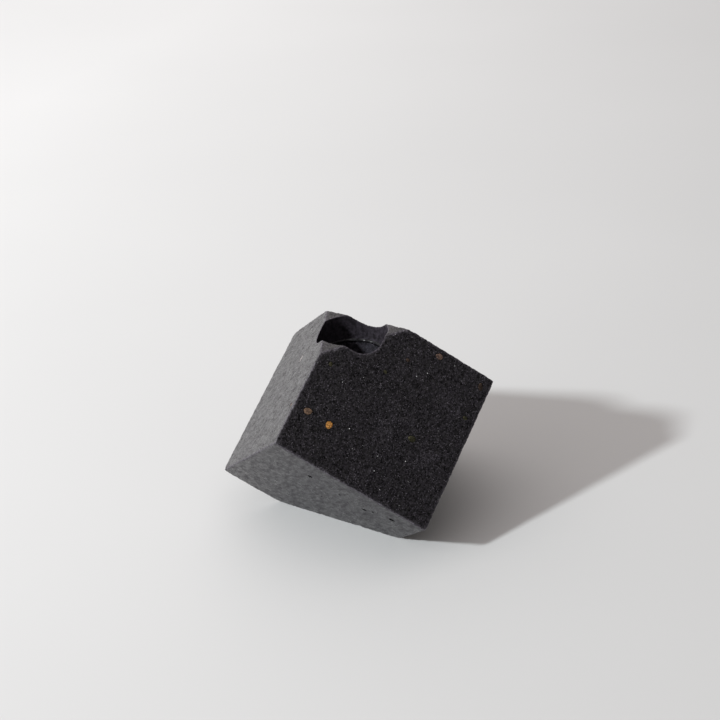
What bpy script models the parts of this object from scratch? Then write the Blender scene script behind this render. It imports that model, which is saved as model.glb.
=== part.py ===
"""A bud vase cast in dark terrazzo: a cube that stands on one corner, with a glass liner in its bore.

One body diagonal of the cube is upright, along +Z. The top corner is cut off level as the mouth and the bottom
corner is cut off level as the base, whose centre is the origin. Metal granules in the mix show flush in the
three upper faces. Units are metres.
"""

from dataclasses import dataclass
from math import cos, pi, radians, sin, sqrt

import bmesh
import bpy
from mathutils import Matrix, Vector

MM = 0.001

# The cast cube
CUBE_EDGE = 75 * MM
MOUTH_CUT = 30.4 * MM  # taken off each upper edge, measured along it from the top corner
BASE_CUT = 45.7 * MM  # taken off each lower edge, measured along it from the bottom corner
EDGE_ROUNDING = 0.8 * MM
EDGE_STEPS = 2
BORE_DIAMETER = 31 * MM
BORE_FLOOR_HEIGHT = 13 * MM
BORE_FLOOR_RADIUS = 2 * MM
BORE_SIDES = 64

# The glass liner
LINER_DIAMETER = 29 * MM
LINER_LENGTH = 62 * MM
LINER_WALL = 1.5 * MM
LINER_FOOT_THICKNESS = 2 * MM
LINER_FOOT_RADIUS = 4 * MM
LINER_SIDES = 48

# The metal granules
GRANULE_DEPTH = 1.4 * MM
GRANULE_WAIST = 0.35  # how far down its depth a granule is still as wide as at the face
GRANULE_FOOT = 0.6  # width at its foot, as a part of the width at the face
GRANULE_SIDES = 10
CUTTER_OVERSHOOT = 1 * MM

CLEARANCE = 0.3 * MM  # kept between two pieces that touch

# The cube's edges fall away from the top corner in three directions, a third of a turn apart
TOP_CORNER = Vector((0, 0, (3 * CUBE_EDGE - BASE_CUT) / sqrt(3)))
MOUTH_HEIGHT = TOP_CORNER.z - MOUTH_CUT / sqrt(3)


def edge_direction(azimuth):
    level = sqrt(2 / 3)
    return Vector((level * cos(radians(azimuth)), level * sin(radians(azimuth)), -sqrt(1 / 3)))


RIGHT = edge_direction(-30)
LEFT = edge_direction(210)
BACK = edge_direction(90)

# Each upper face: the two edges that span it from the top corner, and its outward normal
FACES = {
    "front": (LEFT, RIGHT, -BACK),
    "left": (BACK, LEFT, -RIGHT),
    "rear": (RIGHT, BACK, -LEFT),
}


@dataclass
class Granule:
    """A granule's place on its face is measured along the face's two edges from the cube's top corner."""

    name: str
    metal: str
    face: str
    along: float
    across: float
    length: float
    width: float
    turn: float  # degrees, from the face's first edge
    lobe: float  # degrees, turns the unevenness of its outline


GRANULES = [
    Granule("brass_granule_1", "brass", "front", 56.1 * MM, 17.4 * MM, 3.3 * MM, 3.2 * MM, 0, 20),
    Granule("brass_granule_2", "brass", "front", 42.7 * MM, 52.4 * MM, 3.4 * MM, 3.0 * MM, 120, 80),
    Granule("brass_granule_3", "brass", "front", 22.7 * MM, 29.1 * MM, 1.9 * MM, 1.6 * MM, 75, 10),
    Granule("brass_granule_4", "brass", "front", 22.0 * MM, 70.0 * MM, 2.2 * MM, 1.8 * MM, 120, 50),
    Granule("brass_granule_5", "brass", "front", 32.5 * MM, 6.4 * MM, 2.2 * MM, 1.7 * MM, 15, 140),
    Granule("bronze_granule_1", "bronze", "front", 55.6 * MM, 6.7 * MM, 3.7 * MM, 3.1 * MM, 120, 35),
    Granule("bronze_granule_2", "bronze", "front", 5.8 * MM, 70.4 * MM, 3.5 * MM, 2.3 * MM, 25, 65),
    Granule("bronze_granule_3", "bronze", "front", 12.8 * MM, 35.8 * MM, 1.9 * MM, 1.7 * MM, 100, 5),
    Granule("copper_granule_1", "copper", "front", 3.7 * MM, 47.8 * MM, 3.4 * MM, 2.8 * MM, 120, 110),
    Granule("copper_granule_2", "copper", "left", 31.3 * MM, 25.6 * MM, 3.9 * MM, 1.8 * MM, 88, 30),
    Granule("copper_granule_3", "copper", "left", 4.6 * MM, 55.2 * MM, 1.9 * MM, 1.6 * MM, 30, 75),
    Granule("brass_granule_6", "brass", "rear", 47.0 * MM, 24.0 * MM, 3.0 * MM, 2.7 * MM, 50, 95),
    Granule("bronze_granule_4", "bronze", "rear", 21.0 * MM, 58.0 * MM, 2.4 * MM, 2.0 * MM, 10, 15),
    Granule("copper_granule_4", "copper", "rear", 60.0 * MM, 51.0 * MM, 3.1 * MM, 2.4 * MM, 130, 60),
    Granule("brass_granule_7", "brass", "rear", 38.0 * MM, 68.0 * MM, 1.9 * MM, 1.7 * MM, 70, 120),
]


def clear_scene():
    for old in list(bpy.data.objects):
        bpy.data.objects.remove(old)


def material(name, colour, roughness, metallic=0.0, transmission=0.0):
    made = bpy.data.materials.new(name)
    made.use_nodes = True
    shader = made.node_tree.nodes["Principled BSDF"]
    shader.inputs["Base Color"].default_value = (*colour, 1)
    shader.inputs["Roughness"].default_value = roughness
    shader.inputs["Metallic"].default_value = metallic
    shader.inputs["Transmission Weight"].default_value = transmission
    return made


def materials():
    return {
        "terrazzo": material("terrazzo", (0.045, 0.044, 0.047), 0.85),
        "glass": material("glass", (0.9, 0.95, 0.94), 0.03, transmission=1.0),
        "brass": material("brass", (0.72, 0.45, 0.13), 0.3, metallic=1.0),
        "bronze": material("bronze", (0.36, 0.21, 0.09), 0.4, metallic=1.0),
        "copper": material("copper", (0.6, 0.28, 0.16), 0.35, metallic=1.0),
    }


def add_object(name, bm, surface=None):
    mesh = bpy.data.meshes.new(name)
    bmesh.ops.recalc_face_normals(bm, faces=bm.faces)
    bm.to_mesh(mesh)
    bm.free()
    if surface:
        mesh.materials.append(surface)
    made = bpy.data.objects.new(name, mesh)
    bpy.context.scene.collection.objects.link(made)
    return made


def add_cutter(name, bm, target):
    cutter = add_object(name, bm)
    cutter.hide_render = True
    cutter.display_type = "WIRE"
    cut = target.modifiers.new(name, "BOOLEAN")
    cut.operation = "DIFFERENCE"
    cut.solver = "EXACT"
    cut.object = cutter
    return cutter


def smooth(made, angle=30):
    made.data.shade_smooth()
    made.data.set_sharp_from_angle(angle=radians(angle))


def fillet(centre, radius, start, end, steps=5):
    """Points (radius from the axis, height) along a round corner, from one angle to another in degrees."""
    angles = [radians(start + (end - start) * i / steps) for i in range(steps + 1)]
    return [(centre[0] + radius * cos(a), centre[1] + radius * sin(a)) for a in angles]


def turned(profile, sides):
    """A solid of revolution about Z, from a profile that starts and ends on the axis."""
    bm = bmesh.new()
    rings = []
    for radius, height in profile:
        if radius == 0:
            rings.append([bm.verts.new((0, 0, height))])
            continue
        angles = [2 * pi * i / sides for i in range(sides)]
        rings.append([bm.verts.new((radius * cos(a), radius * sin(a), height)) for a in angles])
    for lower, upper in zip(rings, rings[1:]):
        for i in range(sides):
            j = (i + 1) % sides
            corners = [lower[i % len(lower)], lower[j % len(lower)], upper[j % len(upper)], upper[i % len(upper)]]
            bm.faces.new(list(dict.fromkeys(corners)))
    return bm


def cut_cube():
    """The cube on its corner, with the mouth and the base cut level and its edges rounded."""
    bm = bmesh.new()
    bmesh.ops.create_cube(bm, size=CUBE_EDGE)
    to_corner = Matrix.Translation((CUBE_EDGE / 2,) * 3)
    stand = Matrix((RIGHT, LEFT, BACK)).transposed().to_4x4()
    bm.transform(Matrix.Translation(TOP_CORNER) @ stand @ to_corner)
    for height, outward in ((MOUTH_HEIGHT, 1), (0, -1)):
        whole = bm.verts[:] + bm.edges[:] + bm.faces[:]
        cut = bmesh.ops.bisect_plane(
            bm, geom=whole, plane_co=(0, 0, height), plane_no=(0, 0, outward), clear_outer=True
        )
        rim = [item for item in cut["geom_cut"] if isinstance(item, bmesh.types.BMEdge)]
        bmesh.ops.edgenet_fill(bm, edges=rim)
    bmesh.ops.bevel(
        bm,
        geom=bm.edges[:],
        offset=EDGE_ROUNDING,
        segments=EDGE_STEPS,
        profile=0.5,
        affect="EDGES",
        clamp_overlap=True,
    )
    return bm


def bore_cutter():
    radius = BORE_DIAMETER / 2
    corner = (radius - BORE_FLOOR_RADIUS, BORE_FLOOR_HEIGHT + BORE_FLOOR_RADIUS)
    top = TOP_CORNER.z
    profile = [(0, BORE_FLOOR_HEIGHT)] + fillet(corner, BORE_FLOOR_RADIUS, -90, 0) + [(radius, top), (0, top)]
    return turned(profile, BORE_SIDES)


def granule_solid(granule, growth=0.0, overshoot=0.0):
    """A granule ground flush with its face, or with growth and overshoot the pocket it sits in."""
    first, second, normal = FACES[granule.face]
    centre = TOP_CORNER + first * granule.along + second * granule.across
    place = Matrix.Translation(centre) @ Matrix((first, second, normal)).transposed().to_4x4()
    place @= Matrix.Rotation(radians(granule.turn), 4, "Z")
    bottom = -GRANULE_DEPTH - growth
    levels = ((overshoot, 1.0), (GRANULE_WAIST * bottom, 1.0), (bottom, GRANULE_FOOT))
    bm = bmesh.new()
    rings = []
    for height, spread in levels:
        ring = []
        for i in range(GRANULE_SIDES):
            a = 2 * pi * i / GRANULE_SIDES
            uneven = 1 + 0.07 * cos(2 * a + radians(granule.lobe)) + 0.06 * cos(3 * a - radians(granule.lobe))
            x = (granule.length / 2 * uneven * spread + growth) * cos(a)
            y = (granule.width / 2 * uneven * spread + growth) * sin(a)
            ring.append(bm.verts.new(place @ Vector((x, y, height))))
        rings.append(ring)
    for upper, lower in zip(rings, rings[1:]):
        for i in range(GRANULE_SIDES):
            j = (i + 1) % GRANULE_SIDES
            bm.faces.new((upper[i], upper[j], lower[j], lower[i]))
    bm.faces.new(rings[0])
    bm.faces.new(rings[-1])
    return bm


def build_cast_block(surface):
    block = add_object("cast_block", cut_cube(), surface)
    add_cutter("bore_cutter", bore_cutter(), block)
    for granule in GRANULES:
        pocket = granule_solid(granule, CLEARANCE, CUTTER_OVERSHOOT)
        add_cutter(f"{granule.name}_pocket", pocket, block)
    smooth(block)


def build_glass_liner(surface):
    outer = LINER_DIAMETER / 2
    inner = outer - LINER_WALL
    foot = BORE_FLOOR_HEIGHT + CLEARANCE
    top = foot + LINER_LENGTH
    floor = foot + LINER_FOOT_THICKNESS
    rim = LINER_WALL / 2
    inside_radius = LINER_FOOT_RADIUS - LINER_WALL
    profile = [(0, foot)]
    profile += fillet((outer - LINER_FOOT_RADIUS, foot + LINER_FOOT_RADIUS), LINER_FOOT_RADIUS, -90, 0)
    profile += fillet((outer - rim, top - rim), rim, 0, 180, steps=6)
    profile += fillet((inner - inside_radius, floor + inside_radius), inside_radius, 0, -90)
    profile += [(0, floor)]
    liner = add_object("glass_liner", turned(profile, LINER_SIDES), surface)
    smooth(liner)


def build_granules(surfaces):
    for granule in GRANULES:
        made = add_object(granule.name, granule_solid(granule), surfaces[granule.metal])
        smooth(made)


def main():
    clear_scene()
    surfaces = materials()
    build_cast_block(surfaces["terrazzo"])
    build_glass_liner(surfaces["glass"])
    build_granules(surfaces)


main()
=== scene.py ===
"""The looks of a bud vase: a cube of dark terrazzo that stands on one corner, with a glass liner in its
bore.

Units are metres. The cube's three upper edges fall away from TOP_CORNER along RIGHT, LEFT and BACK, a
third of a turn apart. The three upper faces and the mouth are honed, the lower faces and the base are left
as cast, and metal granules lie flush in the honed faces.
"""

from math import cos, pi, radians, sin, sqrt

import bmesh
import bpy
import numpy as np
from mathutils import Matrix, Vector


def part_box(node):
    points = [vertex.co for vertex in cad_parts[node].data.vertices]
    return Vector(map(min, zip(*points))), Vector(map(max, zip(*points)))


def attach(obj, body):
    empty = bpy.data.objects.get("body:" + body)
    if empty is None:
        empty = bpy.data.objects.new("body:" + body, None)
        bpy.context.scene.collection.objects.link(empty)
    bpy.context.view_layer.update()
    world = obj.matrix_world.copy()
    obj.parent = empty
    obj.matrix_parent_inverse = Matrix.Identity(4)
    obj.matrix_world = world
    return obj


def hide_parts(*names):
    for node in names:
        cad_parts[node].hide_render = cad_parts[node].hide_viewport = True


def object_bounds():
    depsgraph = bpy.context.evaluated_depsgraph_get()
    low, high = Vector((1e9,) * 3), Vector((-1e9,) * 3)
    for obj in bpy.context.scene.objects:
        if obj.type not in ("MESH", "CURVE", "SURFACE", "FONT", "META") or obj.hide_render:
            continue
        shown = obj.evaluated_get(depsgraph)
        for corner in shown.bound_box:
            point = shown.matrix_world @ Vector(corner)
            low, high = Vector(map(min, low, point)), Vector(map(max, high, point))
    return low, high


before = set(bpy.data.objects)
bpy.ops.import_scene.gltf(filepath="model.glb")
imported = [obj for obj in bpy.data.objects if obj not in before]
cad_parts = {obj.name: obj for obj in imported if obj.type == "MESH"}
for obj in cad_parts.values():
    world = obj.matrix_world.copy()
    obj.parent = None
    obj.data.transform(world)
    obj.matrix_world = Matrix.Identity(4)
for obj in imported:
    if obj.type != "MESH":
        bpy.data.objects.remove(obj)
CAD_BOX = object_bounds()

MM = 0.001

# The cast cube, as in the CAD but with sharper edges under the wear
CUBE_EDGE = 75 * MM
BASE_CUT = 45.7 * MM
MOUTH_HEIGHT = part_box("cast_block")[1].z
TOP_CORNER = Vector((0, 0, (3 * CUBE_EDGE - BASE_CUT) / sqrt(3)))
BORE_RADIUS = 15.5 * MM
BORE_FLOOR = 13 * MM
BORE_FLOOR_RADIUS = 2 * MM
EDGE_ROUNDING = 0.45 * MM
RIM_ROUNDING = 0.35 * MM

# The wear: how deep it goes and how far it reaches along the edges, in the larger chips there, at the
# corners and round the rim of the bore, and how large its grain, the chips and the lower faces' waves are
EDGE_BITE, EDGE_REACH = 0.32 * MM, 0.7 * MM
EDGE_CHIP, CHIP_REACH = 0.45 * MM, 1.6 * MM
CORNER_WEAR, CORNER_REACH = 0.3 * MM, 1.5 * MM
RIM_WEAR, RIM_REACH = 0.14 * MM, 0.5 * MM
FINE_GRAIN, COARSE_GRAIN, CHIP_SIZE = 0.8 * MM, 1.8 * MM, 2.6 * MM
CAST_WAVES, WAVE_LENGTH = 0.05 * MM, 9 * MM

# The block's surface mesh
VOXEL = 0.4 * MM
BLOCK_TRIANGLES = 150_000
PROJECTION_STEPS = 4
MIN_STEEPNESS = 0.2
NORMAL_REACH = 0.02 * MM
ON_SURFACE = 0.05 * MM
NOISE_PERIOD = 32

# The granules, as in the CAD: how wide one is and how deep down, as parts of its outline and depth, and how
# wide its foot is. Then the crown of its ground top: how far out, and how far down in millimetres.
GRANULE_DEPTH = 1.4 * MM
WAIST = (1.0, 0.35)
CALF = (0.82, 0.7)
FOOT_SPREAD = 0.6
CROWN = ((0.25, 0.0), (0.5, 0.0), (0.72, 0.02), (0.88, 0.05), (0.96, 0.11), (1.0, 0.24))
OUTLINE_POINTS = 40
POCKET_GAP = 0.08 * MM
OVERSHOOT = 1 * MM

# Air holes in the casting, in millimetres: those that show in the lower left face, by distance along RIGHT
# and BACK and by size, those in the base, by place and size, and how many more each lower face has, how far
# apart they are, and how large at most in the lower left face
SEEN_HOLES = [
    (23.5, 15.3, 2.1, 2.0), (51.7, 17.7, 2.3, 2.1), (62.7, 10.4, 2.8, 2.5),
    (39.0, 16.8, 1.2, 1.1), (36.2, 32.9, 0.9, 0.9), (54.8, 14.4, 1.3, 1.2),
]
BASE_HOLES = [(9, 4, 1.5), (-14, 8, 0.9), (3, -16, 1.1), (-5, -3, 0.6), (15, -9, 0.7), (-2, 19, 1.3)]
MORE_HOLES = {"under_left": 5, "under_right": 14, "under_back": 14}
HOLE_SPACING = 5
FINE_HOLE = 0.5

# The glass: it thins towards its lip, which sways up and down a little
LINER_SIDES = 128
LINER_WALL = 1.5 * MM
LINER_LIP_RADIUS = 0.45 * MM
LINER_TAPER = 4 * MM
LINER_SWAY = 0.06 * MM
LINER_FOOT_RADIUS = 4 * MM
LINER_FOOT_THICKNESS = 2 * MM

rng = np.random.default_rng(7)


def edge_direction(azimuth):
    level = sqrt(2 / 3)
    return Vector((level * cos(radians(azimuth)), level * sin(radians(azimuth)), -sqrt(1 / 3)))


RIGHT = edge_direction(-30)
LEFT = edge_direction(210)
BACK = edge_direction(90)

# Each upper face: the two edges that span it from the top corner, and its outward normal
UPPER_FACES = {"front": (LEFT, RIGHT, -BACK), "left": (BACK, LEFT, -RIGHT), "rear": (RIGHT, BACK, -LEFT)}
LOWER_FACES = {
    "under_left": (RIGHT, BACK, LEFT),
    "under_right": (BACK, LEFT, RIGHT),
    "under_back": (LEFT, RIGHT, BACK),
}

# The planes that bound the block, as outward normals and offsets
NORMALS = np.array([-RIGHT, -LEFT, -BACK, RIGHT, LEFT, BACK, (0, 0, 1), (0, 0, -1)], float)
OFFSETS = np.array([Vector(n).dot(TOP_CORNER) for n in NORMALS[:3]]
                   + [Vector(n).dot(TOP_CORNER) + CUBE_EDGE for n in NORMALS[3:6]]
                   + [MOUTH_HEIGHT, 0.0])


# ---------------------------------------------------------------- meshes

def add_object(name, bm, surface=None):
    mesh = bpy.data.meshes.new(name)
    bm.to_mesh(mesh)
    bm.free()
    if surface:
        mesh.materials.append(surface)
    made = bpy.data.objects.new(name, mesh)
    bpy.context.scene.collection.objects.link(made)
    return made


def apply_modifiers(made):
    graph = bpy.context.evaluated_depsgraph_get()
    mesh = bpy.data.meshes.new_from_object(made.evaluated_get(graph))
    made.modifiers.clear()
    made.data = mesh


def cut_away(made, cutter, solver="MANIFOLD"):
    cut = made.modifiers.new("cut", "BOOLEAN")
    cut.operation = "DIFFERENCE"
    cut.solver = solver
    cut.object = cutter
    apply_modifiers(made)
    bpy.data.objects.remove(cutter)


def points_of(mesh):
    flat = np.empty(len(mesh.vertices) * 3, np.float32)
    mesh.vertices.foreach_get("co", flat)
    return flat.reshape(-1, 3).astype(float)


def lattice_noise(points, cell, seed):
    """Smooth noise from 0 to 1 whose features are about one cell across."""
    table = np.random.default_rng(seed).random((NOISE_PERIOD,) * 3)
    scaled = points / cell + 1000
    base = np.floor(scaled).astype(int)
    part = scaled - base
    part = part * part * (3 - 2 * part)
    total = np.zeros(len(points))
    for corner in range(8):
        step = np.array([(corner >> axis) & 1 for axis in range(3)])
        weight = np.where(step, part, 1 - part).prod(axis=1)
        index = (base + step) % NOISE_PERIOD
        total += weight * table[index[:, 0], index[:, 1], index[:, 2]]
    return total


def ramp(value, low, high):
    part = np.clip((value - low) / (high - low), 0, 1)
    return part * part * (3 - 2 * part)


# ---------------------------------------------------------------- the block's shape

def plane_distances(points):
    return points @ NORMALS.T - OFFSETS


def bore_distance(points):
    outward = np.hypot(points[:, 0], points[:, 1]) - (BORE_RADIUS - BORE_FLOOR_RADIUS)
    down = BORE_FLOOR + BORE_FLOOR_RADIUS - points[:, 2]
    outside = np.hypot(np.maximum(outward, 0), np.maximum(down, 0))
    return outside + np.minimum(np.maximum(outward, down), 0) - BORE_FLOOR_RADIUS


def wear(points, planes, bore):
    """How far the surface is worn back: a grainy bite along the edges, with a few larger chips, and a
    waviness of the faces that are left as cast."""
    nearest = np.sort(planes, axis=1)
    second, third = -nearest[:, -2], -nearest[:, -3]
    depth = np.zeros(len(points))
    near = second < 3.5 * MM
    if near.any():
        at, gap, corner = points[near], second[near], third[near]
        grain = lattice_noise(at, FINE_GRAIN, 1) * 0.6 + lattice_noise(at, COARSE_GRAIN, 2) * 0.4
        bite = EDGE_BITE * ramp(grain, 0.30, 0.80) * np.exp(-(gap / EDGE_REACH) ** 2)
        chips = EDGE_CHIP * ramp(lattice_noise(at, CHIP_SIZE, 3), 0.76, 0.96) * ramp(gap, CHIP_REACH, 0)
        corners = CORNER_WEAR * np.exp(-(corner / CORNER_REACH) ** 2)
        depth[near] = bite + chips + corners
    rim = np.abs(bore) < 1.2 * MM
    rim &= nearest[:, -1] > -1.2 * MM
    if rim.any():
        grain = lattice_noise(points[rim], FINE_GRAIN, 4)
        fading = np.exp(-(np.maximum(bore[rim], 0) / RIM_REACH) ** 2)
        depth[rim] += RIM_WEAR * ramp(grain, 0.45, 0.9) * fading
    cast = planes[:, 3:6].max(axis=1) > -0.5 * MM
    if cast.any():
        depth[cast] += CAST_WAVES * lattice_noise(points[cast], WAVE_LENGTH, 5) ** 2
    return depth


def block_field(points):
    """Distance to the block's surface, negative inside it."""
    planes = plane_distances(points)
    bore = bore_distance(points)
    raised = planes + EDGE_ROUNDING
    body = np.sqrt((np.maximum(raised, 0) ** 2).sum(axis=1))
    body = body + np.minimum(raised.max(axis=1), 0) - EDGE_ROUNDING
    body = body + wear(points, planes, bore)
    outer, inner = body + RIM_ROUNDING, -bore + RIM_ROUNDING
    return (np.hypot(np.maximum(outer, 0), np.maximum(inner, 0))
            + np.minimum(np.maximum(outer, inner), 0) - RIM_ROUNDING)


def field_gradient(points):
    slopes = np.empty_like(points)
    for axis in range(3):
        step = np.zeros(3)
        step[axis] = NORMAL_REACH
        slopes[:, axis] = (block_field(points + step) - block_field(points - step)) / (2 * NORMAL_REACH)
    return slopes


def sharp_block():
    bm = bmesh.new()
    bmesh.ops.create_cube(bm, size=CUBE_EDGE)
    stand = Matrix((RIGHT, LEFT, BACK)).transposed().to_4x4()
    bm.transform(Matrix.Translation(TOP_CORNER) @ stand @ Matrix.Translation((CUBE_EDGE / 2,) * 3))
    for height, outward in ((MOUTH_HEIGHT, 1), (0, -1)):
        whole = bm.verts[:] + bm.edges[:] + bm.faces[:]
        cut = bmesh.ops.bisect_plane(
            bm, geom=whole, plane_co=(0, 0, height), plane_no=(0, 0, outward), clear_outer=True
        )
        edges = [item for item in cut["geom_cut"] if isinstance(item, bmesh.types.BMEdge)]
        bmesh.ops.edgenet_fill(bm, edges=edges)
    bmesh.ops.recalc_face_normals(bm, faces=bm.faces)
    block = add_object("block", bm)
    bm = bmesh.new()
    depth = TOP_CORNER.z - BORE_FLOOR
    middle = Matrix.Translation((0, 0, BORE_FLOOR + depth / 2))
    bmesh.ops.create_cone(
        bm, cap_ends=True, segments=96, radius1=BORE_RADIUS, radius2=BORE_RADIUS, depth=depth, matrix=middle
    )
    cut_away(block, add_object("bore", bm), "EXACT")
    return block


def shape_surface(block):
    """Remeshes the block evenly, lays every vertex on the worn surface, and thins the flat parts out again.
    The points stay inside the CAD's box."""
    remesh = block.modifiers.new("remesh", "REMESH")
    remesh.mode = "VOXEL"
    remesh.voxel_size = VOXEL
    apply_modifiers(block)
    points = points_of(block.data)
    for _ in range(PROJECTION_STEPS):
        slopes = field_gradient(points)
        steepness = np.maximum((slopes ** 2).sum(axis=1), MIN_STEEPNESS)
        points -= slopes * (block_field(points) / steepness)[:, None]
    block.data.vertices.foreach_set("co", points.astype(np.float32).ravel())
    block.data.update()
    thin = block.modifiers.new("thin", "DECIMATE")
    thin.ratio = min(1, BLOCK_TRIANGLES / (2 * len(block.data.polygons)))
    thin.use_collapse_triangulate = True
    apply_modifiers(block)
    points = np.clip(points_of(block.data), *np.array(CAD_BOX))
    block.data.vertices.foreach_set("co", points.astype(np.float32).ravel())
    block.data.update()


def set_block_normals(block):
    """The block's own faces shade by its field, so flat faces stay flat. The walls of pockets and holes
    shade face by face."""
    mesh = block.data
    mesh.shade_smooth()
    points = points_of(mesh)
    slopes = field_gradient(points)
    slopes /= np.linalg.norm(slopes, axis=1)[:, None]
    corners = np.empty(len(mesh.loops), np.int32)
    mesh.loops.foreach_get("vertex_index", corners)
    count = len(mesh.polygons)
    totals = np.empty(count, np.int32)
    mesh.polygons.foreach_get("loop_total", totals)
    centres, normals = np.empty(count * 3, np.float32), np.empty(count * 3, np.float32)
    mesh.polygons.foreach_get("center", centres)
    mesh.polygons.foreach_get("normal", normals)
    centres, normals = centres.reshape(-1, 3).astype(float), normals.reshape(-1, 3)
    owner = np.repeat(np.arange(count), totals)
    on_surface = np.abs(block_field(centres)) < ON_SURFACE
    # a facet that leans far from the field belongs to a pocket or hole wall
    loop_normals = slopes[corners]
    agree = (loop_normals * normals[owner]).sum(axis=1) > 0.5
    keep = on_surface[owner] & agree
    loop_normals[~keep] = normals[owner][~keep]
    mesh.normals_split_custom_set(loop_normals.tolist())


# ---------------------------------------------------------------- granules

def granule_frame(node):
    """Where a CAD granule lies, as a matrix from the face's two edges and normal, and its outline there."""
    points = np.array([v.co for v in node.data.vertices], float)
    first, second, normal = max(
        UPPER_FACES.values(),
        key=lambda face: ((points - np.array(TOP_CORNER)) @ np.array(face[2])).max(),
    )
    heights = (points - np.array(TOP_CORNER)) @ np.array(normal)
    top = points[heights > -0.01 * MM]
    centre = np.unique(top.round(7), axis=0).mean(axis=0)
    across = np.stack([(top - centre) @ np.array(first), (top - centre) @ np.array(second)], axis=1)
    outline = np.unique(across.round(6), axis=0)
    outline = outline[np.argsort(np.arctan2(outline[:, 1], outline[:, 0]))]
    place = Matrix.Translation(Vector(centre)) @ Matrix((first, second, normal)).transposed().to_4x4()
    return place, outline


def rounded_outline(outline):
    """A smooth closed curve through the outline's corners."""
    corners = len(outline)
    made = []
    for i in range(OUTLINE_POINTS):
        at = i * corners / OUTLINE_POINTS
        k, t = int(at), at - int(at)
        p0, p1, p2, p3 = (outline[(k + j) % corners] for j in (-1, 0, 1, 2))
        made.append(0.5 * (2 * p1 + (p2 - p0) * t + (2 * p0 - 5 * p1 + 4 * p2 - p3) * t * t
                           + (3 * p1 - p0 - 3 * p2 + p3) * t ** 3))
    return np.array(made)


def ring(bm, place, outline, height):
    return [bm.verts.new(place @ Vector((x, y, height))) for x, y in outline]


def join_rings(bm, rings):
    for upper, lower in zip(rings, rings[1:]):
        for i in range(len(upper)):
            j = (i + 1) % len(upper)
            bm.faces.new((upper[j], upper[i], lower[i], lower[j]))


def granule_piece(node, surface):
    """The granule with its ground top, which leans a little, is pitted, and drops at the rim."""
    place, corners = granule_frame(node)
    outline = rounded_outline(corners)
    lean = rng.uniform(-1, 1, 2) * 0.012
    bm = bmesh.new()
    rings = []
    for spread, sink in CROWN:
        level = []
        for x, y in outline * spread:
            dent = 0.02 * MM * rng.random()
            slope = lean[0] * x + lean[1] * y
            height = min(-0.005 * MM, slope - dent - sink * MM - 0.01 * MM)
            level.append(bm.verts.new(place @ Vector((x, y, height))))
        rings.append(level)
    for spread, part in (WAIST, CALF):
        rings.append(ring(bm, place, outline * spread, -part * GRANULE_DEPTH))
    rings.append(ring(bm, place, outline * FOOT_SPREAD, -GRANULE_DEPTH + 0.02 * MM))
    join_rings(bm, rings)
    middle = bm.verts.new(place @ Vector((0, 0, -0.015 * MM)))
    foot = bm.verts.new(place @ Vector((0, 0, -GRANULE_DEPTH + 0.01 * MM)))
    for i in range(OUTLINE_POINTS):
        j = (i + 1) % OUTLINE_POINTS
        bm.faces.new((middle, rings[0][i], rings[0][j]))
        bm.faces.new((rings[-1][j], rings[-1][i], foot))
    bmesh.ops.recalc_face_normals(bm, faces=bm.faces)
    made = add_object(node.name + "_ground", bm, surface)
    made.data.shade_smooth()
    return made


def pocket_cutter(bm, node):
    place, corners = granule_frame(node)
    outline = rounded_outline(corners)
    reach = np.linalg.norm(outline, axis=1)[:, None]
    depth = GRANULE_DEPTH + POCKET_GAP

    def grown(spread):
        return outline * spread * (1 + POCKET_GAP / (reach * spread))

    rings = [ring(bm, place, grown(1.0), OVERSHOOT)]
    rings += [ring(bm, place, grown(spread), -part * depth) for spread, part in (WAIST, CALF)]
    rings.append(ring(bm, place, grown(FOOT_SPREAD), -depth))
    join_rings(bm, rings)
    bm.faces.new(rings[0])
    bm.faces.new(rings[-1][::-1])


# ---------------------------------------------------------------- air holes in the casting

def hole_cutter(bm, centre, first, second, normal, length, width):
    """An irregular rounded bubble, open at the face."""
    place = Matrix.Translation(centre) @ Matrix((first, second, normal)).transposed().to_4x4()
    turn = Matrix.Rotation(rng.uniform(0, pi), 4, "Z")
    made = bmesh.ops.create_icosphere(bm, subdivisions=3, radius=1.0)["verts"]
    phase = rng.uniform(0, 2 * pi, 6)
    depth = min(length, width) * rng.uniform(0.75, 1.0)
    for vert in made:
        x, y, z = vert.co
        uneven = 1 + 0.10 * sin(3 * x + phase[0]) + 0.09 * sin(4 * y + phase[1])
        uneven += 0.07 * sin(5 * z + 2 * x + phase[2])
        local = Vector((x * uneven * length / 2, y * uneven * width / 2, z * uneven * depth - 0.2 * depth))
        vert.co = place @ turn @ local


def cut_pockets_and_holes(block, granules):
    bm = bmesh.new()
    for node in granules:
        pocket_cutter(bm, node)
    for name, (first, second, normal) in LOWER_FACES.items():
        start = TOP_CORNER + normal * CUBE_EDGE
        taken = []
        if name == "under_left":
            for a, b, length, width in SEEN_HOLES:
                point = start + (first * a + second * b) * MM
                hole_cutter(bm, point, first, second, normal, length * MM, width * MM)
                taken.append((a, b))
        wanted = len(taken) + MORE_HOLES[name]
        while len(taken) < wanted:
            a, b = rng.uniform(3, 72, 2)
            point = start + (first * a + second * b) * MM
            if point.z < 3 * MM or any(abs(a - c) + abs(b - d) < HOLE_SPACING for c, d in taken):
                continue
            size = 0.45 + 1.5 * rng.random() ** 3
            if name == "under_left":
                size = min(size, FINE_HOLE)
            hole_cutter(bm, point, first, second, normal, size * MM, size * rng.uniform(0.7, 1) * MM)
            taken.append((a, b))
    first, second, normal = Vector((1, 0, 0)), Vector((0, -1, 0)), Vector((0, 0, -1))
    for x, y, size in BASE_HOLES:
        centre = Vector((x * MM, y * MM, 0))
        hole_cutter(bm, centre, first, second, normal, size * MM, size * 0.85 * MM)
    bmesh.ops.recalc_face_normals(bm, faces=bm.faces)
    cut_away(block, add_object("pockets", bm))


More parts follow.
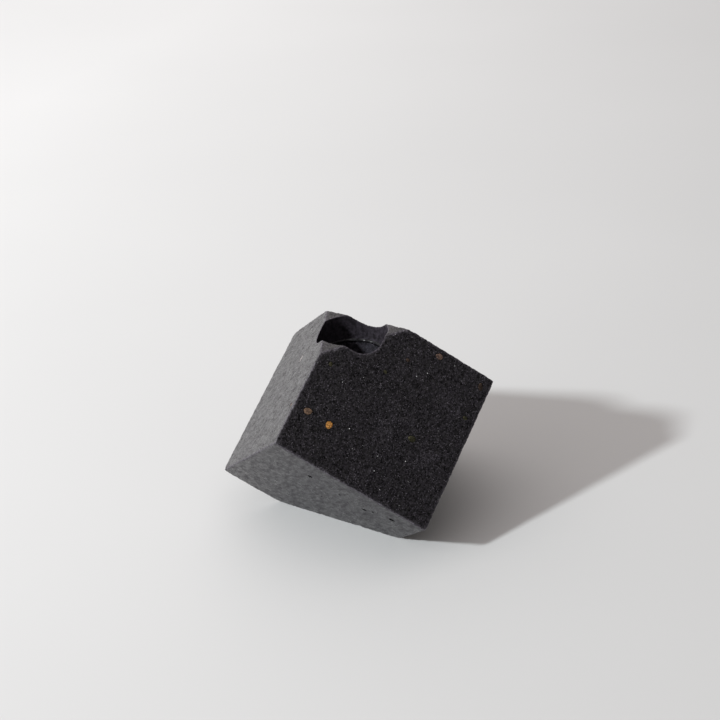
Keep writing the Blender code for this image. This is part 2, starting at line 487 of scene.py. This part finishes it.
def build_block(surface, granules):
    block = sharp_block()
    shape_surface(block)
    cut_pockets_and_holes(block, granules)
    block.data.materials.clear()
    block.data.materials.append(surface)
    block.data.polygons.foreach_set("material_index", np.zeros(len(block.data.polygons), np.int32))
    set_block_normals(block)
    block.name = block.data.name = "terrazzo_block"
    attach(block, "vase")
    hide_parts("cast_block")


# ---------------------------------------------------------------- the liner

def build_liner(surface):
    """The tube, with a ground lip that is thinner than the wall and a little uneven, and a thick rounded
    foot."""
    low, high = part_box("glass_liner")
    outer = (high.x - low.x) / 2
    inner = outer - LINER_WALL
    lip, foot = LINER_LIP_RADIUS, LINER_FOOT_RADIUS

    def corner(centre_r, centre_z, radius, start, end, steps):
        angles = [radians(start + (end - start) * i / steps) for i in range(steps + 1)]
        return [(centre_r + radius * cos(a), centre_z + radius * sin(a)) for a in angles]

    # the foot is hollowed a little underneath
    profile = [(2 * MM, low.z + 0.25 * MM), (6 * MM, low.z + 0.05 * MM)]
    profile += corner(outer - foot, low.z + foot, foot, -90, 0, 8)
    profile += [(outer, low.z + (high.z - low.z) * part) for part in (0.3, 0.6, 0.9)]
    profile += corner(outer - lip, high.z - lip, lip, 0, 180, 12)
    profile += [(inner, high.z - LINER_TAPER)]
    profile += [(inner, low.z + (high.z - low.z) * part) for part in (0.6, 0.3)]
    inside = foot - LINER_WALL
    profile += corner(inner - inside, low.z + LINER_FOOT_THICKNESS + inside, inside, 0, -90, 8)
    bm = bmesh.new()
    rings = []
    for radius, height in profile:
        level = []
        near_lip = max(0.0, 1 - (high.z - height) / LINER_TAPER)
        for i in range(LINER_SIDES):
            a = 2 * pi * i / LINER_SIDES
            sway = LINER_SWAY * near_lip * (sin(3 * a + 1) + 0.6 * sin(7 * a) - 1.6)
            level.append(bm.verts.new((radius * cos(a), radius * sin(a), height + sway)))
        rings.append(level)
    for lower, upper in zip(rings, rings[1:]):
        for i in range(LINER_SIDES):
            j = (i + 1) % LINER_SIDES
            bm.faces.new((lower[i], lower[j], upper[j], upper[i]))
    for level, height in ((rings[0], low.z + 0.35 * MM), (rings[-1], low.z + LINER_FOOT_THICKNESS)):
        middle = bm.verts.new((0, 0, height))
        for i in range(LINER_SIDES):
            bm.faces.new((level[i], middle, level[(i + 1) % LINER_SIDES]))
    bmesh.ops.recalc_face_normals(bm, faces=bm.faces)
    liner = add_object("liner_tube", bm, surface)
    liner.data.shade_smooth()
    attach(liner, "liner")
    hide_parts("glass_liner")


# ---------------------------------------------------------------- materials

# The terrazzo's grain, in cells per metre
COARSE_SAND = 1700.0
FINE_SAND = 3600.0
EDGE_CRUMBS = 1000.0
SPECKS = 620.0

# How a cell's random number turns into how pale its sand is, as stops of a ramp with its two ends first.
# Half the cells are cement. Then from which random number a cell is quartz or a speck, and a speck's radius.
COARSE_STOPS = [(0.0, 0.02), (1.0, 1.0), (0.5, 0.06), (0.62, 0.5), (0.85, 0.9)]
FINE_STOPS = [(0.0, 0.02), (1.0, 1.0), (0.5, 0.06), (0.7, 0.7)]
QUARTZ_FROM = 0.93
SPECK_FROM = 0.955
SPECK_RADIUS = 0.14

# The terrazzo's base colour: the sand, the cement skin and the wall of the bore, how much paler the wall is
# painted as light below the glass's rim, then what is added where the rim of the bore is painted paler as a
# highlight, where the edges are worn and painted paler as a highlight and where the border beside them is
# rubbed, what dust adds, and how much is left in a hole, painted darker as shade
COARSE_LEVEL = 0.0245
FINE_LEVEL = 0.0125
QUARTZ_LEVEL = 0.09
SKIN_LEVELS = (0.013, 0.027)
WALL_LEVELS = (0.008, 0.034)
WALL_LIGHT_UNDER_GLASS = 1.4
RIM_HIGHLIGHT = 0.030
EDGE_WEAR_AND_HIGHLIGHT = 0.035
RUBBED_BORDER = 0.016
DUST_LEVEL = 0.03
HOLE_SHADE = 0.35
STONE_TINT = (1.035, 0.935, 1.11, 1)
BORE_TINT = (1.07, 0.92, 1.17, 1)

# The terrazzo's roughness
SAND_ROUGHNESS = (0.22, 0.38)
SKIN_ROUGHNESS = (0.20, 0.46)
BORE_ROUGHNESS = 0.40
EDGE_ROUGHNESS = 0.45
MOUTH_ROUGHNESS = 0.5
HOLE_ROUGHNESS = 0.9

# How far the terrazzo's grains, its undulating faces and its specks lean
COARSE_LEAN = 0.30
FINE_LEAN = 0.22
CRUMB_LEAN = 0.4
WAVE_LEAN = 0.9
FRONT_WAVE_LEAN = 0.2
SPECK_LEAN = 0.9
SKIN_RELIEF = 0.09 * MM

# The liner's lip: how far under the rim it is painted dark as shade and how far it is frosted and opaque,
# its painted shade colour, and how its grains shine
LIP_SHADE_REACH = (1.9 * MM, 1.2 * MM)
FROST = (1.1 * MM, 0.7 * MM)
LIP_SHADE_COLOUR = (0.018, 0.017, 0.019, 1)
LIP_GRAINS = 1000.0
LIP_LEAN = 0.7
LIP_ROUGHNESS = (0.7, 0.34)


class Nodes:
    """A small shorthand for building a node tree. A value is a number, a tuple or another node's output."""

    def __init__(self, tree):
        self.tree = tree

    def set(self, socket, value):
        if isinstance(value, bpy.types.NodeSocket):
            self.tree.links.new(value, socket)
        else:
            socket.default_value = value

    def add(self, kind, values=None, **settings):
        node = self.tree.nodes.new("ShaderNode" + kind)
        for name, value in settings.items():
            setattr(node, name, value)
        for key, value in (values or {}).items():
            self.set(node.inputs[key], value)
        return node

    def math(self, operation, *values):
        return self.add("Math", dict(enumerate(values)), operation=operation).outputs[0]

    def plus(self, first, second):
        return self.math("ADD", first, second)

    def times(self, first, second):
        return self.math("MULTIPLY", first, second)

    def vector(self, operation, *values, scale=None):
        node = self.add("VectorMath", dict(enumerate(values)), operation=operation)
        if scale is not None:
            self.set(node.inputs["Scale"], scale)
        return node.outputs["Value" if operation in ("DOT_PRODUCT", "LENGTH") else "Vector"]

    def z_of(self, way):
        return self.add("SeparateXYZ", {0: way}).outputs["Z"]

    def range(self, value, low, high, to_low=0.0, to_high=1.0, smooth=True):
        kind = "SMOOTHSTEP" if smooth else "LINEAR"
        values = {"Value": value, "From Min": low, "From Max": high, "To Min": to_low, "To Max": to_high}
        return self.add("MapRange", values, interpolation_type=kind).outputs[0]

    def mix(self, part, first, second):
        return self.add("Mix", {0: part, 2: first, 3: second}, data_type="FLOAT").outputs[0]

    def mix_colour(self, part, first, second, blend="MIX"):
        values = {0: part, 6: first, 7: second}
        return self.add("Mix", values, data_type="RGBA", blend_type=blend).outputs[2]

    def grey(self, tone):
        return self.add("CombineColor", {0: tone, 1: tone, 2: tone}).outputs[0]

    def ramp(self, value, stops):
        node = self.add("ValToRGB", {0: value})
        ends = node.color_ramp.elements
        for i, (at, level) in enumerate(stops):
            stop = ends[i] if i < 2 else ends.new(at)
            stop.position = at
            stop.color = (level, level, level, 1)
        return node.outputs[0]

    def noise(self, place, scale, detail=2.0, roughness=0.5):
        values = {"Vector": place, "Scale": scale, "Detail": detail, "Roughness": roughness}
        return self.add("TexNoise", values)

    def spread(self, noise, low, high, to_low, to_high):
        """A noise's level, stretched evenly from one range to another."""
        return self.range(noise.outputs[0], low, high, to_low, to_high, smooth=False)

    def cells(self, place, scale):
        return self.add("TexVoronoi", {"Vector": place, "Scale": scale})

    def random(self, cells, channel):
        return self.add("SeparateColor", {0: cells.outputs["Color"]}).outputs[channel]

    def leaning(self, texture, share, amount):
        """A way to lean, at random for each cell or along a noise."""
        random_way = self.vector("SUBTRACT", texture.outputs["Color"], (0.5, 0.5, 0.5))
        return self.vector("SCALE", random_way, scale=self.times(share, amount))

    def bump(self, height, normal=None):
        values = {"Strength": 1.0, "Distance": 1.0, "Height": height}
        if normal is not None:
            values["Normal"] = normal
        return self.add("Bump", values).outputs[0]


def new_material(name, **constants):
    made = bpy.data.materials.new(name)
    made.use_nodes = True
    shader = made.node_tree.nodes["Principled BSDF"]
    for key, value in constants.items():
        shader.inputs[key.replace("_", " ")].default_value = value
    return made, Nodes(made.node_tree), shader


def terrazzo():
    """Dark cement and sand. Honed faces show cut sand grains, cast faces a cement skin."""
    made, n, shader = new_material("dark_terrazzo", Specular_IOR_Level=0.355, IOR=1.5)
    place = n.add("TexCoord").outputs["Object"]
    normal = n.add("NewGeometry").outputs["Normal"]
    coarse, fine = n.cells(place, COARSE_SAND), n.cells(place, FINE_SAND)

    # where the surface is honed, and where it is the wall of the bore
    up = n.z_of(normal)
    honed = n.range(up, -0.25, 0.15)
    radius = n.vector("LENGTH", n.vector("MULTIPLY", place, (1, 1, 0)))
    height = n.z_of(place)
    bore = n.range(radius, BORE_RADIUS + 0.45 * MM, BORE_RADIUS + 0.15 * MM)
    bore = n.times(bore, n.range(height, BORE_FLOOR - 6 * MM, BORE_FLOOR - 3 * MM))
    outside = n.math("SUBTRACT", 1.0, bore)
    cut_face = n.times(honed, outside)

    # how far out the surface is, and how far behind the nearest bounding plane the second nearest lies
    highest, second = -1.0, -1.0
    for direction, offset in zip(NORMALS.tolist(), OFFSETS.tolist()):
        away = n.math("SUBTRACT", n.vector("DOT_PRODUCT", place, direction), offset)
        second = n.math("MAXIMUM", second, n.math("MINIMUM", highest, away))
        highest = n.math("MAXIMUM", highest, away)
    from_edge = n.math("SUBTRACT", highest, second)
    # the edges, which are worn and painted paler as a highlight, and the border beside them
    edge = n.times(n.range(from_edge, 0.45 * MM, 0.1 * MM), outside)
    border = n.times(n.range(from_edge, 1.6 * MM, 0.3 * MM), outside)
    # the rim of the bore, which is painted paler as a highlight
    rim = n.times(n.range(radius, BORE_RADIUS, BORE_RADIUS + 0.15 * MM),
                  n.range(radius, BORE_RADIUS + 0.8 * MM, BORE_RADIUS + 0.4 * MM))
    # inside a hole or pocket, where the colour is painted darker as shade and the surface is rough
    hole = n.times(n.range(highest, -0.12 * MM, -0.35 * MM), outside)
    hole = n.times(hole, n.range(from_edge, 1.2 * MM, 2.0 * MM))

    # the sand, with a few of the finest grains of quartz, the cement skin and the wall of the bore
    sand = n.plus(n.times(n.ramp(n.random(coarse, 0), COARSE_STOPS), COARSE_LEVEL),
                  n.times(n.ramp(n.random(fine, 0), FINE_STOPS), FINE_LEVEL))
    sand = n.plus(sand, n.range(n.random(fine, 1), QUARTZ_FROM, 1.0, 0.0, QUARTZ_LEVEL))
    skin = n.spread(n.noise(place, 800.0, 3.0, 0.6), 0.3, 0.7, *SKIN_LEVELS)
    tone = n.times(n.mix(honed, skin, sand), n.spread(n.noise(place, 55.0, 3.0), 0.3, 0.7, 0.93, 1.07))
    wall = n.spread(n.noise(place, 700.0, 4.0, 0.7), 0.38, 0.62, *WALL_LEVELS)
    # the wall is painted paler as light below the rim of the glass
    wall_light = n.range(height, MOUTH_HEIGHT - 10 * MM, MOUTH_HEIGHT - 13 * MM, 1.0, WALL_LIGHT_UNDER_GLASS)
    tone = n.mix(bore, tone, n.times(wall, wall_light))

    # the rim of the bore is painted paler as a highlight, the edges are worn and painted paler as a
    # highlight, the border beside them is rubbed pale, and the inside of a hole or pocket is painted darker
    # as shade
    pale_patches = n.spread(n.noise(place, 1000.0, 2.0, 0.6), 0.35, 0.65, 0.3, 1.7)
    for paler_part, level in ((rim, RIM_HIGHLIGHT), (edge, EDGE_WEAR_AND_HIGHLIGHT), (border, RUBBED_BORDER)):
        tone = n.plus(tone, n.times(n.times(paler_part, level), pale_patches))
    tone = n.times(tone, n.mix(hole, 1.0, HOLE_SHADE))
    # dust is rubbed into the honed faces here and there
    dust = n.times(n.range(n.noise(place, 75.0, 1.0).outputs[0], 0.60, 0.70), cut_face)
    dust = n.times(dust, n.range(n.noise(place, 1300.0, 2.0, 0.6).outputs[0], 0.5, 0.68))
    tone = n.plus(tone, n.times(dust, DUST_LEVEL))
    colour = n.mix_colour(1.0, n.grey(tone), n.mix_colour(bore, STONE_TINT, BORE_TINT), "MULTIPLY")

    # specks of mica: rare cells whose middle lies in the face
    specks = n.cells(place, SPECKS)
    speck = n.times(n.math("GREATER_THAN", n.random(specks, 1), SPECK_FROM),
                    n.math("LESS_THAN", specks.outputs["Distance"], SPECK_RADIUS))
    speck = n.times(n.times(speck, n.mix(honed, 0.25, 1.0)), outside)
    glint = n.plus(n.times(n.math("POWER", n.random(specks, 2), 3.0), 0.5), 0.06)
    n.set(shader.inputs["Base Color"], n.mix_colour(speck, colour, n.grey(glint)))

    rough = n.range(n.random(coarse, 1), 0.0, 1.0, *SAND_ROUGHNESS, smooth=False)
    rough = n.plus(rough, n.spread(n.noise(place, 420.0), 0.3, 0.7, -0.06, 0.06))
    rough_skin = n.spread(n.noise(place, 520.0, 4.0, 0.7), 0.3, 0.7, *SKIN_ROUGHNESS)
    rough = n.mix(honed, rough_skin, rough)
    mouth = n.range(up, 0.8, 0.95)
    for share, level in ((bore, BORE_ROUGHNESS), (edge, EDGE_ROUGHNESS), (mouth, MOUTH_ROUGHNESS),
                         (hole, HOLE_ROUGHNESS)):
        rough = n.mix(share, rough, level)
    n.set(shader.inputs["Roughness"], rough)

    # each cut grain leans its own way, a speck leans further, all faces undulate along a stretched noise,
    # the front face the least, and the skin is an orange peel
    backward = n.times(n.vector("DOT_PRODUCT", place, tuple(BACK)), 0.6)
    stretched = n.vector("SUBTRACT", place, n.vector("SCALE", tuple(BACK), scale=backward))
    front = n.vector("DOT_PRODUCT", normal, tuple(-BACK))
    facets = normal
    wave_lean = n.range(front, 0.8, 0.95, WAVE_LEAN, FRONT_WAVE_LEAN)
    for texture, share, amount in (
        (coarse, cut_face, COARSE_LEAN),
        (fine, cut_face, FINE_LEAN),
        (n.cells(place, EDGE_CRUMBS), border, CRUMB_LEAN),
        (n.noise(stretched, 430.0, 3.0, 0.6), outside, wave_lean),
        (specks, speck, SPECK_LEAN),
    ):
        facets = n.vector("ADD", facets, n.leaning(texture, share, amount))
    peel = n.times(n.noise(place, 1100.0, 3.0, 0.6).outputs[0], n.mix(cut_face, SKIN_RELIEF, 0.0))
    n.set(shader.inputs["Normal"], n.bump(peel, n.vector("NORMALIZE", facets)))
    return made


def metal(name, colour, tarnish, roughness, tarnished):
    """Soft metal ground with the stone: scratched across, with tarnish in patches."""
    made, n, shader = new_material(name, Metallic=1.0)
    place = n.add("TexCoord").outputs["Object"]
    scratch = n.noise(n.vector("MULTIPLY", place, (1.0, 0.12, 1.0)), 9000.0, 2.0, 0.7)
    patch = n.noise(place, 900.0, 3.0, 0.6).outputs[0]
    patch = n.range(patch, 0.62 - tarnished * 0.4, 0.78 - tarnished * 0.4)
    mottle = n.spread(n.noise(place, 2200.0), 0.35, 0.65, 0.35, 1.35)
    bright = n.mix_colour(1.0, (*colour, 1), n.grey(mottle), "MULTIPLY")
    n.set(shader.inputs["Base Color"], n.mix_colour(patch, bright, (*tarnish, 1)))
    rough = n.spread(scratch, 0.3, 0.7, roughness - 0.08, roughness + 0.08)
    n.set(shader.inputs["Roughness"], n.mix(patch, rough, roughness + 0.15))
    relief = n.plus(n.times(scratch.outputs[0], 0.002 * MM), n.times(mottle, 0.003 * MM))
    n.set(shader.inputs["Normal"], n.bump(relief))
    return made


def clear_glass(rim):
    """Tube glass with a film of dried water in patches. Its ground lip is frosted, opaque and painted dark
    as shade, and catches the lamp in glints."""
    constants = {"Transmission_Weight": 1.0, "IOR": 1.5, "Specular_IOR_Level": 0.25}
    made, n, shader = new_material("clear_glass", **constants)
    place = n.add("TexCoord").outputs["Object"]
    height = n.z_of(place)
    # the glass is already painted dark as shade where the frosting starts, so no pale ring shows below the
    # lip
    shaded_lip, lip = (n.range(height, rim - low, rim - high) for low, high in (LIP_SHADE_REACH, FROST))
    film = n.range(n.noise(place, 420.0, 4.0, 0.6).outputs[0], 0.45, 0.75)
    clean = n.mix_colour(film, (0.95, 0.975, 0.965, 1), (0.9, 0.94, 0.93, 1))
    n.set(shader.inputs["Base Color"], n.mix_colour(shaded_lip, clean, LIP_SHADE_COLOUR))
    n.set(shader.inputs["Transmission Weight"], n.mix(lip, 1.0, 0.0))
    grains = n.cells(place, LIP_GRAINS)
    frost = n.range(n.random(grains, 2), 0.35, 0.60, *LIP_ROUGHNESS)
    n.set(shader.inputs["Roughness"], n.mix(lip, n.mix(film, 0.015, 0.07), frost))
    ripple = n.noise(n.vector("MULTIPLY", place, (1, 1, 0.25)), 160.0, 1.0).outputs[0]
    rippled = n.bump(n.times(ripple, 0.05 * MM))
    facets = n.vector("ADD", rippled, n.leaning(grains, lip, LIP_LEAN))
    n.set(shader.inputs["Normal"], n.vector("NORMALIZE", facets))
    # the lamp and the light off the bore shine through the tube instead of being stopped by it
    clear = n.add("BsdfTransparent", {"Color": (0.94, 0.955, 0.95, 1)})
    surface = shader.outputs[0]
    path = n.add("LightPath")
    for ray in ("Is Diffuse Ray", "Is Shadow Ray"):
        surface = n.add("MixShader", {0: path.outputs[ray], 1: surface, 2: clear.outputs[0]}).outputs[0]
    n.set(made.node_tree.nodes["Material Output"].inputs["Surface"], surface)
    return made


def paper():
    """The sheet that the vase stands on, painted paler towards the far left as light that is stronger there.
    """
    made, n, shader = new_material("floor_paper", Specular_IOR_Level=0.0, Roughness=0.9)
    place = n.add("TexCoord").outputs["Object"]
    painted_light_gradient = n.vector("DOT_PRODUCT", place, (-0.40, 0.45, 0.0))
    # painted light: the paper's tone rises towards the far left
    tone = n.range(painted_light_gradient, -0.12, 0.30, 0.52, 0.76, smooth=False)
    tone = n.times(tone, n.spread(n.noise(place, 4.0), 0.3, 0.7, 0.99, 1.01))
    n.set(shader.inputs["Base Color"], n.grey(tone))
    return made


# ---------------------------------------------------------------- floor, light and camera

# The key: a round softbox to the left, so far away that its light falls off only a little across the floor
KEY_AZIMUTH = 181
KEY_ELEVATION = 30.5
KEY_DISTANCE = 5.0
KEY_WIDTH = 0.38
KEY_IRRADIANCE = pi * 1.12
KEY_COLOUR = (0.965, 1.015, 1.03)

# The surroundings: bright behind the vase and to its left, a little less so low down, dark on the camera's
# side, with a pale band along the horizon and soft light from straight above
ROOM_AHEAD = (-0.574, 0.819, 0.0)
ROOM_RANGE = (-0.3, 0.3)
ROOM_DARK = 0.02
ROOM_BRIGHT = 1.2
ROOM_TOP = 0.8
ROOM_COLOUR = (1.04, 0.983, 0.965, 1)
HORIZON = 0.2
HORIZON_HEIGHT = 0.15

FLOOR_WIDTH = 20

# The camera: its lens, its place, and the ways that it looks and stands upright
LENS = 76.62
SENSOR_WIDTH = 36
CAMERA_PLACE = Vector((-0.26553, -0.53728, 0.36515))
CAMERA_FORWARD = Vector((0.40168, 0.80306, -0.44018))
CAMERA_UP = Vector((0.23441, 0.37448, 0.89711))


def build_surroundings():
    bpy.ops.mesh.primitive_plane_add(size=FLOOR_WIDTH)
    floor = bpy.context.object
    floor.name = "floor"
    floor.data.materials.append(paper())

    key = bpy.data.lights.new("key", "AREA")
    key.shape = "DISK"
    key.size = KEY_WIDTH
    key.energy = KEY_IRRADIANCE * pi * KEY_DISTANCE ** 2
    key.color = KEY_COLOUR
    lamp = bpy.data.objects.new("key", key)
    azimuth, elevation = radians(KEY_AZIMUTH), radians(KEY_ELEVATION)
    level = cos(elevation)
    lamp.location = KEY_DISTANCE * Vector((cos(azimuth) * level, sin(azimuth) * level, sin(elevation)))
    lamp.rotation_euler = (-lamp.location).to_track_quat("-Z", "Y").to_euler()
    bpy.context.scene.collection.objects.link(lamp)

    world = bpy.data.worlds.new("studio")
    bpy.context.scene.world = world
    world.use_nodes = True
    n = Nodes(world.node_tree)
    way = n.add("TexCoord").outputs["Generated"]
    up = n.z_of(way)
    light = n.range(n.vector("DOT_PRODUCT", way, ROOM_AHEAD), *ROOM_RANGE, ROOM_DARK, ROOM_BRIGHT)
    light = n.times(light, n.range(up, 0.05, 0.35, 0.8, 1.0))
    light = n.math("MAXIMUM", light, n.range(up, 0.0, HORIZON_HEIGHT, HORIZON, 0.0))
    light = n.mix(n.range(up, 0.5, 1.0), light, ROOM_TOP)
    backdrop = world.node_tree.nodes["Background"]
    backdrop.inputs["Color"].default_value = ROOM_COLOUR
    n.set(backdrop.inputs["Strength"], light)


def build_camera():
    lens = bpy.data.cameras.new("camera")
    lens.lens = LENS
    lens.sensor_width = SENSOR_WIDTH
    camera = bpy.data.objects.new("camera", lens)
    turn = Matrix((CAMERA_FORWARD.cross(CAMERA_UP), CAMERA_UP, -CAMERA_FORWARD)).transposed().to_4x4()
    camera.matrix_world = Matrix.Translation(CAMERA_PLACE) @ turn
    bpy.context.scene.collection.objects.link(camera)
    bpy.context.scene.camera = camera


# Most granules are tarnished as dark as the stone. A few are torn, worn or polished by the grinding.
METALS = {
    "brass": metal("tarnished_brass", (0.17, 0.165, 0.10), (0.07, 0.07, 0.05), 0.34, 0.35),
    "bronze": metal("tarnished_bronze", (0.17, 0.125, 0.10), (0.07, 0.055, 0.045), 0.34, 0.4),
    "copper": metal("tarnished_copper", (0.28, 0.19, 0.155), (0.08, 0.055, 0.05), 0.36, 0.4),
}
torn_brass = metal("torn_brass", (0.80, 0.42, 0.13), (0.32, 0.15, 0.05), 0.66, 0.25)
polished_copper = metal("polished_copper", (0.92, 0.82, 0.80), (0.6, 0.5, 0.48), 0.26, 0.1)
FRESH_METALS = {
    "brass_granule_1": torn_brass,
    "brass_granule_6": torn_brass,
    "bronze_granule_1": metal("torn_bronze", (0.31, 0.21, 0.15), (0.13, 0.09, 0.07), 0.66, 0.3),
    "copper_granule_1": metal("worn_copper", (0.38, 0.26, 0.21), (0.11, 0.08, 0.07), 0.45, 0.32),
    "copper_granule_2": polished_copper,
    "copper_granule_4": polished_copper,
}

granules = [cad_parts[name] for name in sorted(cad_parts) if "granule" in name]
build_block(terrazzo(), granules)
for node in granules:
    kind = node.name.split("_")[0]
    piece = granule_piece(node, FRESH_METALS.get(node.name, METALS[kind]))
    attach(piece, "vase")
    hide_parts(node.name)
build_liner(clear_glass(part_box("glass_liner")[1].z))
build_surroundings()
build_camera()
bpy.context.scene.view_settings.view_transform = "Standard"
